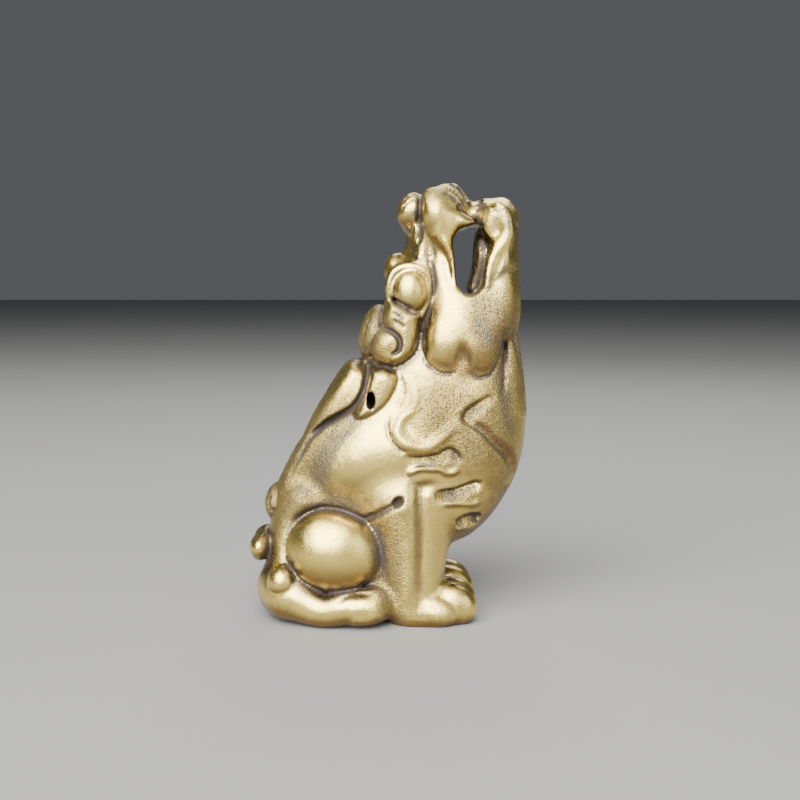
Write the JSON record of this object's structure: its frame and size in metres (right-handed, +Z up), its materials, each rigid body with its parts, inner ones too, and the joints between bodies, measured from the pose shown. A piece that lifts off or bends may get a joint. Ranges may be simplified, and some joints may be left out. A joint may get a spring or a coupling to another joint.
{
  "type": "seated beast figure",
  "caption": "Solid cast brass figure of a seated lion-like beast, head thrown back and mouth open to the sky, with a small cord hole through the neck.",
  "frame": {"origin": "centre of the bounding box's footprint, on the plane the figure stands on", "axes": "+X is the front of the beast, +Z is up, Y runs across it; the flank in the picture faces -Y"},
  "size_m": [0.0325, 0.0206, 0.05],
  "materials": {
    "brass": "cast brass, rubbed bright on the high forms, grainy and darkened to brown and grey in the creases"
  },
  "bodies": {
    "root": {"beast_figure": "brass"}
  },
  "joints": []
}
